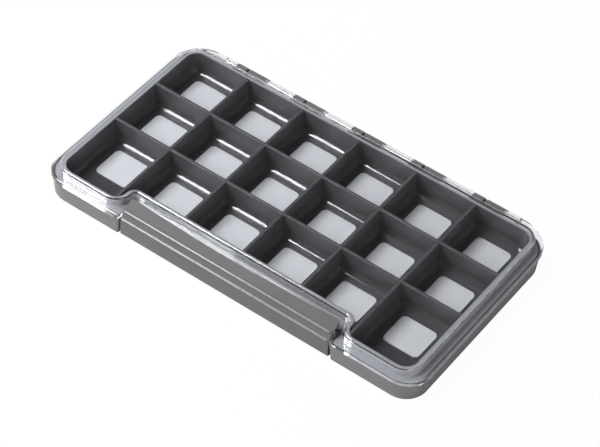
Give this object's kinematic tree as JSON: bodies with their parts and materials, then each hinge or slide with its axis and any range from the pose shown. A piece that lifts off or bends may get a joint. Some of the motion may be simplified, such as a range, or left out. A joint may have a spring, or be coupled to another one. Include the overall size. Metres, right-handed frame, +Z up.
{
  "type": "fly box",
  "caption": "Slim rectangular fly box with a clear hinged lid, a grid of magnet-floored compartments, a seal and a full-width latch bar",
  "frame": {"origin": "centre of the closed box's plan, on its underside", "axes": "+X along the long side, +Y from the latch at the front to the hinge at the rear, +Z up out of the lid"},
  "size_m": [0.1904, 0.1066, 0.016],
  "materials": {
    "grey_shell": "satin moulded plastic",
    "dark_insert": "satin moulded plastic",
    "seal": "pale translucent silicone",
    "steel_pin": "plain wire",
    "clear_lid": "polished clear plastic",
    "grey_latch": "satin moulded plastic",
    "magnet_plate": "satin plated metal"
  },
  "bodies": {
    "base": {"base_shell": "grey_shell", "compartment_insert": "dark_insert", "seal_ring": "seal", "hinge_pin": "steel_pin", "latch_pin": "steel_pin", "magnet_front_1": "magnet_plate", "magnet_front_2": "magnet_plate", "magnet_front_3": "magnet_plate", "magnet_front_4": "magnet_plate", "magnet_front_5": "magnet_plate", "magnet_front_6": "magnet_plate", "magnet_mid_1": "magnet_plate", "magnet_mid_2": "magnet_plate", "magnet_mid_3": "magnet_plate", "magnet_mid_4": "magnet_plate", "magnet_mid_5": "magnet_plate", "magnet_mid_6": "magnet_plate", "magnet_rear_1": "magnet_plate", "magnet_rear_2": "magnet_plate", "magnet_rear_3": "magnet_plate", "magnet_rear_4": "magnet_plate", "magnet_rear_5": "magnet_plate", "magnet_rear_6": "magnet_plate"},
    "lid": {"lid": "clear_lid"},
    "latch": {"latch": "grey_latch"}
  },
  "joints": [
    {"name": "lid_hinge", "type": "hinge", "parent": "base", "child": "lid", "pos_m": [0, 0.0504, 0.0085], "axis": [-1, 0, 0], "range_deg": [0, 180]},
    {"name": "latch_hinge", "type": "hinge", "parent": "base", "child": "latch", "pos_m": [0, -0.04995, 0.003], "axis": [1, 0, 0], "range_deg": [0, 75]}
  ]
}
